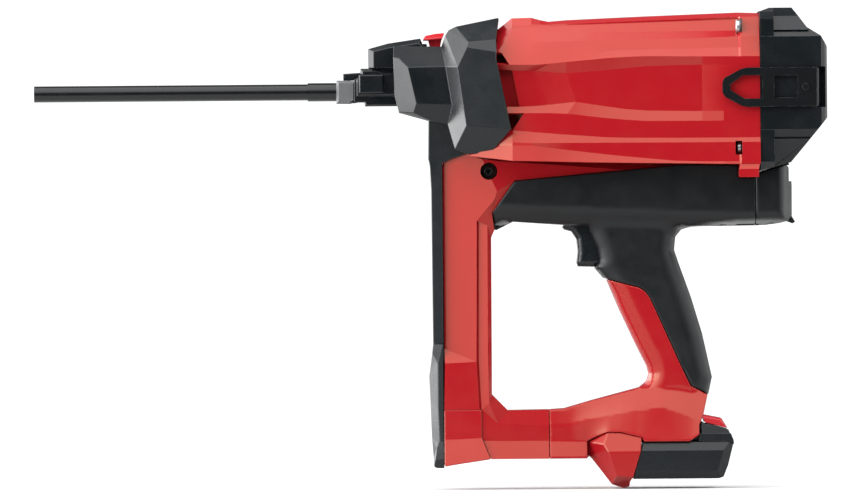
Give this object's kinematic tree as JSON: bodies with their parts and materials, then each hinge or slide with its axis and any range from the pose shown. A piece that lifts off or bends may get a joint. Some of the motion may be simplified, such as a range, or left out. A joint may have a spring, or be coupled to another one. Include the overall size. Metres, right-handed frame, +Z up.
{
  "type": "insulation nail gun",
  "caption": "Gas-actuated fastening tool with a long guide tube, frame-shaped handle, folding hook, gas door and slide-on battery.",
  "frame": {"origin": "centre of the guide tube's mouth", "axes": "+X along the drive axis towards the back of the tool, +Z up, -Y is the side with the hook"},
  "size_m": [0.636, 0.118, 0.3843],
  "materials": {
    "red_plastic": "satin moulded plastic, clean hard facets",
    "black_plastic": "fine-grained moulded plastic",
    "black_grip": "soft over-moulded grip",
    "black_steel": "glossy black oxide",
    "bright_steel": "zinc plated",
    "ground_steel": "ground",
    "aluminium": "die cast",
    "seal_rubber": "matt",
    "red_button": "satin",
    "foam": "open-cell foam",
    "can_metal": "drawn can",
    "board_green": "circuit board",
    "cell_wrap": "shrink sleeve",
    "wire_black": "PVC lead",
    "spring_steel": "spring wire",
    "white_ceramic": "glazed"
  },
  "bodies": {
    "housing": {"barrel_shell_left": "red_plastic", "barrel_shell_right": "red_plastic", "rear_cap": "black_plastic", "rear_cap_bolts": "bright_steel", "air_filter": "foam", "belt_hook_pin": "black_steel", "nose_shroud_left": "black_plastic", "nose_shroud_right": "black_plastic", "nose_hood": "black_plastic", "front_rail": "black_plastic", "front_bumper": "black_grip", "front_wear_pad": "black_plastic", "frame_left": "red_plastic", "frame_right": "red_plastic", "frame_cross_bolt": "black_steel", "column_foot": "red_plastic", "handle_left": "black_grip", "handle_right": "black_grip", "foot_left": "red_plastic", "foot_right": "red_plastic", "housing_screws": "bright_steel", "battery_guard": "red_plastic", "battery_shoe": "black_plastic", "nose_guide": "ground_steel", "nose_guide_screws": "bright_steel", "probe_spring_left": "spring_steel", "probe_spring_right": "spring_steel", "cylinder": "aluminium", "seal_rings": "seal_rubber", "buffer": "seal_rubber", "cylinder_head": "aluminium", "spark_plug": "white_ceramic", "fan_motor": "ground_steel", "gas_can": "can_metal", "metering_valve": "black_plastic", "gas_cover_pin": "black_steel", "trigger_switch": "black_plastic", "trigger_spring": "spring_steel", "control_board": "board_green", "wiring": "wire_black"},
    "probe": {"guide_tube": "black_steel", "tube_sleeve": "black_steel", "tube_collar": "black_plastic", "carrier_block": "black_plastic", "link_yoke": "ground_steel", "chamber_sleeve": "aluminium"},
    "tube_lock": {"lock_button": "black_plastic"},
    "drive_piston": {"piston": "aluminium", "piston_rings": "ground_steel", "driver_rod": "ground_steel"},
    "chamber_fan": {"fan": "black_plastic"},
    "hook": {"belt_hook": "black_steel"},
    "gas_door": {"gas_cover": "black_plastic"},
    "trigger": {"trigger": "black_plastic"},
    "hood_release": {"release_button": "red_button"},
    "battery": {"battery_case": "black_plastic", "battery_cells": "cell_wrap", "battery_board": "board_green"},
    "battery_latch": {"battery_button": "red_button"}
  },
  "joints": [
    {"name": "probe_press", "type": "slide", "parent": "housing", "child": "probe", "axis": [1, 0, 0], "range_m": [0, 0.025], "stiffness_N_per_m": 900, "springref_m": -0.02, "deforming": ["probe_spring_left", "probe_spring_right"]},
    {"name": "tube_lock_press", "type": "slide", "parent": "probe", "child": "tube_lock", "axis": [0, 1, 0], "range_m": [0, 0.002], "stiffness_N_per_m": 600, "springref_m": -0.003},
    {"name": "piston_drive", "type": "slide", "parent": "housing", "child": "drive_piston", "axis": [-1, 0, 0], "range_m": [0, 0.086]},
    {"name": "fan_spin", "type": "hinge", "parent": "housing", "child": "chamber_fan", "pos_m": [0.56, 0, 0], "axis": [1, 0, 0], "continuous": true},
    {"name": "hook_fold", "type": "hinge", "parent": "housing", "child": "hook", "pos_m": [0.626, -0.05, 0], "axis": [0, 0, 1], "range_deg": [0, 90]},
    {"name": "gas_door_open", "type": "hinge", "parent": "housing", "child": "gas_door", "pos_m": [0.602, 0, -0.069], "axis": [0, -1, 0], "range_deg": [0, 100]},
    {"name": "trigger_pull", "type": "slide", "parent": "housing", "child": "trigger", "axis": [1, 0, 0], "range_m": [0, 0.007], "stiffness_N_per_m": 500, "springref_m": -0.006, "deforming": ["trigger_spring"]},
    {"name": "hood_release_press", "type": "slide", "parent": "housing", "child": "hood_release", "axis": [0, 0, -1], "range_m": [0, 0.0025], "stiffness_N_per_m": 600, "springref_m": -0.003},
    {"name": "battery_slide", "type": "slide", "parent": "housing", "child": "battery", "axis": [1, 0, 0], "range_m": [0, 0.08]},
    {"name": "battery_latch_press", "type": "slide", "parent": "battery", "child": "battery_latch", "axis": [0, 0, -1], "range_m": [0, 0.0025], "stiffness_N_per_m": 600, "springref_m": -0.003}
  ]
}
